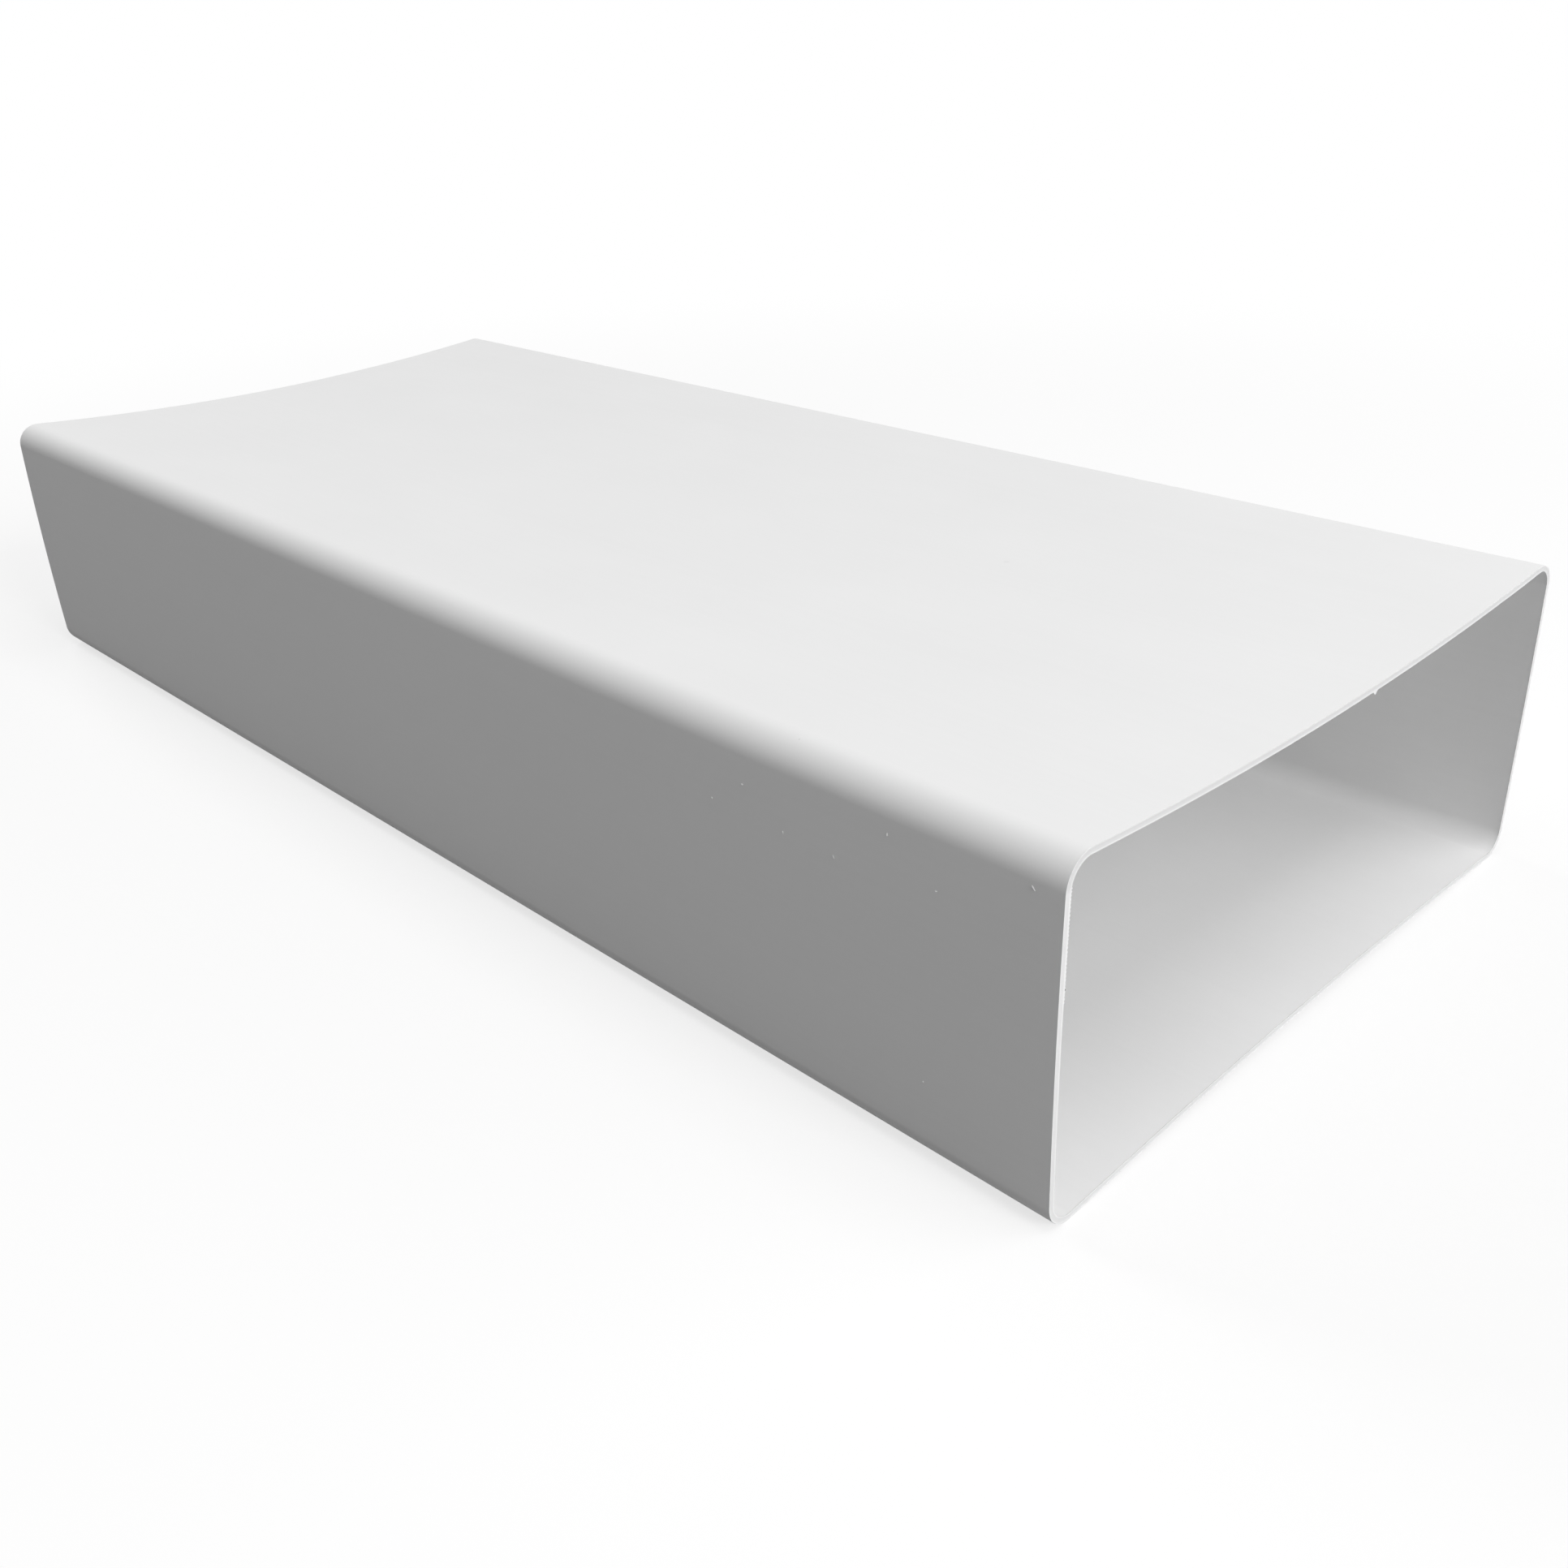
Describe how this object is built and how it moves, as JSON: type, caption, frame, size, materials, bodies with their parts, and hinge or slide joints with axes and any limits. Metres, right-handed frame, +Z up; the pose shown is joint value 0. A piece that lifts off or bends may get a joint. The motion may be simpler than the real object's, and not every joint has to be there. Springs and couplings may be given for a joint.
{
  "type": "flat channel duct",
  "caption": "Straight length of flat rectangular ventilation duct in white plastic, thin-walled with rounded corners, dished broad walls and open square-cut ends.",
  "frame": {"origin": "on the floor, under the middle of the duct", "axes": "+X along the duct towards the open end nearest the camera in the picture, +Y across its width away from that camera, +Z up"},
  "size_m": [0.5, 0.22, 0.09],
  "materials": {
    "white_pvc": "satin"
  },
  "bodies": {
    "root": {"flat_channel": "white_pvc"}
  },
  "joints": []
}
